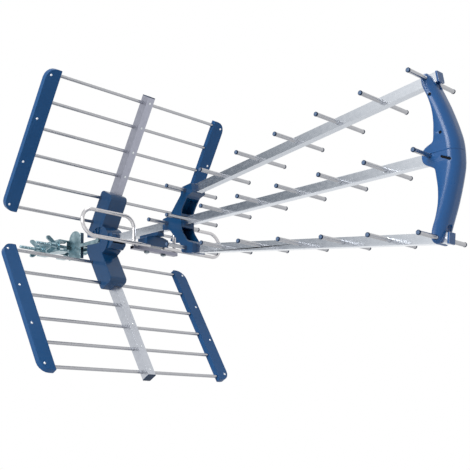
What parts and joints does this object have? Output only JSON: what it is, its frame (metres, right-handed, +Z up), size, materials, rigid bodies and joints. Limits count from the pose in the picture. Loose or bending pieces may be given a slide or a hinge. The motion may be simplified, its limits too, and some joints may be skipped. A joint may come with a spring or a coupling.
{
  "type": "outdoor television antenna",
  "caption": "Outdoor UHF television antenna: booms of rod directors, a corner reflector, a folded dipole and a toothed mast clamp that tilts and opens.",
  "frame": {"origin": "on the axis of the mast that the clamp grips, level with the middle boom's axis", "axes": "+X forward along the middle boom towards the front bracket, +Y to the antenna's left, +Z up along the mast"},
  "size_m": [1.2425, 0.576, 0.7058],
  "materials": {
    "boom_aluminium": "bright drawn, satin",
    "director_aluminium": "bright drawn, satin",
    "rod_aluminium": "drawn, satin",
    "dark_blue_plastic": "moulded, semi-gloss",
    "blue_plastic": "moulded, semi-gloss",
    "navy_plastic": "moulded, satin",
    "zinc_plated_steel": "zinc plated, passivated bluish green"
  },
  "bodies": {
    "clamp": {"mount_bracket": "zinc_plated_steel", "fixed_jaw": "zinc_plated_steel", "front_clamp_bolt": "zinc_plated_steel", "rear_clamp_bolt": "zinc_plated_steel"},
    "antenna": {"upper_boom": "boom_aluminium", "middle_boom": "boom_aluminium", "lower_boom": "boom_aluminium", "upper_director_1": "director_aluminium", "upper_director_2": "director_aluminium", "upper_director_3": "director_aluminium", "upper_director_4": "director_aluminium", "upper_director_5": "director_aluminium", "upper_director_6": "director_aluminium", "upper_director_7": "director_aluminium", "lower_director_1": "director_aluminium", "lower_director_2": "director_aluminium", "lower_director_3": "director_aluminium", "lower_director_4": "director_aluminium", "lower_director_5": "director_aluminium", "lower_director_6": "director_aluminium", "lower_director_7": "director_aluminium", "middle_director_0": "director_aluminium", "middle_director_1": "director_aluminium", "middle_director_2": "director_aluminium", "middle_director_3": "director_aluminium", "middle_director_4": "director_aluminium", "middle_director_5": "director_aluminium", "middle_director_6": "director_aluminium", "middle_director_7": "director_aluminium", "upper_reflector_rod_1": "rod_aluminium", "upper_reflector_rod_2": "rod_aluminium", "upper_reflector_rod_3": "rod_aluminium", "upper_reflector_rod_4": "rod_aluminium", "upper_reflector_rod_5": "rod_aluminium", "upper_reflector_rod_6": "rod_aluminium", "upper_centre_bar": "boom_aluminium", "upper_left_rail": "dark_blue_plastic", "upper_right_rail": "dark_blue_plastic", "lower_reflector_rod_1": "rod_aluminium", "lower_reflector_rod_2": "rod_aluminium", "lower_reflector_rod_3": "rod_aluminium", "lower_reflector_rod_4": "rod_aluminium", "lower_reflector_rod_5": "rod_aluminium", "lower_reflector_rod_6": "rod_aluminium", "lower_centre_bar": "boom_aluminium", "lower_left_rail": "dark_blue_plastic", "lower_right_rail": "dark_blue_plastic", "hub": "dark_blue_plastic", "rear_yoke": "dark_blue_plastic", "front_bracket": "blue_plastic", "dipole_left_loop": "rod_aluminium", "dipole_right_loop": "rod_aluminium", "dipole_strap": "boom_aluminium", "dipole_box": "navy_plastic", "dipole_box_lid": "navy_plastic"},
    "jaw": {"sliding_jaw": "zinc_plated_steel"},
    "front_nut": {"front_wing_nut": "zinc_plated_steel"},
    "rear_nut": {"rear_wing_nut": "zinc_plated_steel"},
    "upper_screw": {"upper_locking_screw": "blue_plastic"},
    "lower_screw": {"lower_locking_screw": "blue_plastic"}
  },
  "joints": [
    {"name": "tilt", "type": "hinge", "parent": "clamp", "child": "antenna", "pos_m": [0.184, 0, 0], "axis": [0, -1, 0], "range_deg": [0, 12]},
    {"name": "clamp_jaw", "type": "slide", "parent": "clamp", "child": "jaw", "axis": [0, -1, 0], "range_m": [-0.008, 0.03]},
    {"name": "front_wing_nut", "type": "hinge", "parent": "jaw", "child": "front_nut", "pos_m": [0.035, -0.0443, 0.008], "axis": [0, -1, 0], "continuous": true},
    {"name": "rear_wing_nut", "type": "hinge", "parent": "jaw", "child": "rear_nut", "pos_m": [-0.035, -0.0443, 0.008], "axis": [0, -1, 0], "continuous": true},
    {"name": "upper_locking_screw", "type": "hinge", "parent": "antenna", "child": "upper_screw", "pos_m": [1.14764, 0, 0.13645], "axis": [1, 0, 0], "range_deg": [0, 90]},
    {"name": "lower_locking_screw", "type": "hinge", "parent": "antenna", "child": "lower_screw", "pos_m": [1.14764, 0, -0.13645], "axis": [1, 0, 0], "range_deg": [0, 90]}
  ]
}
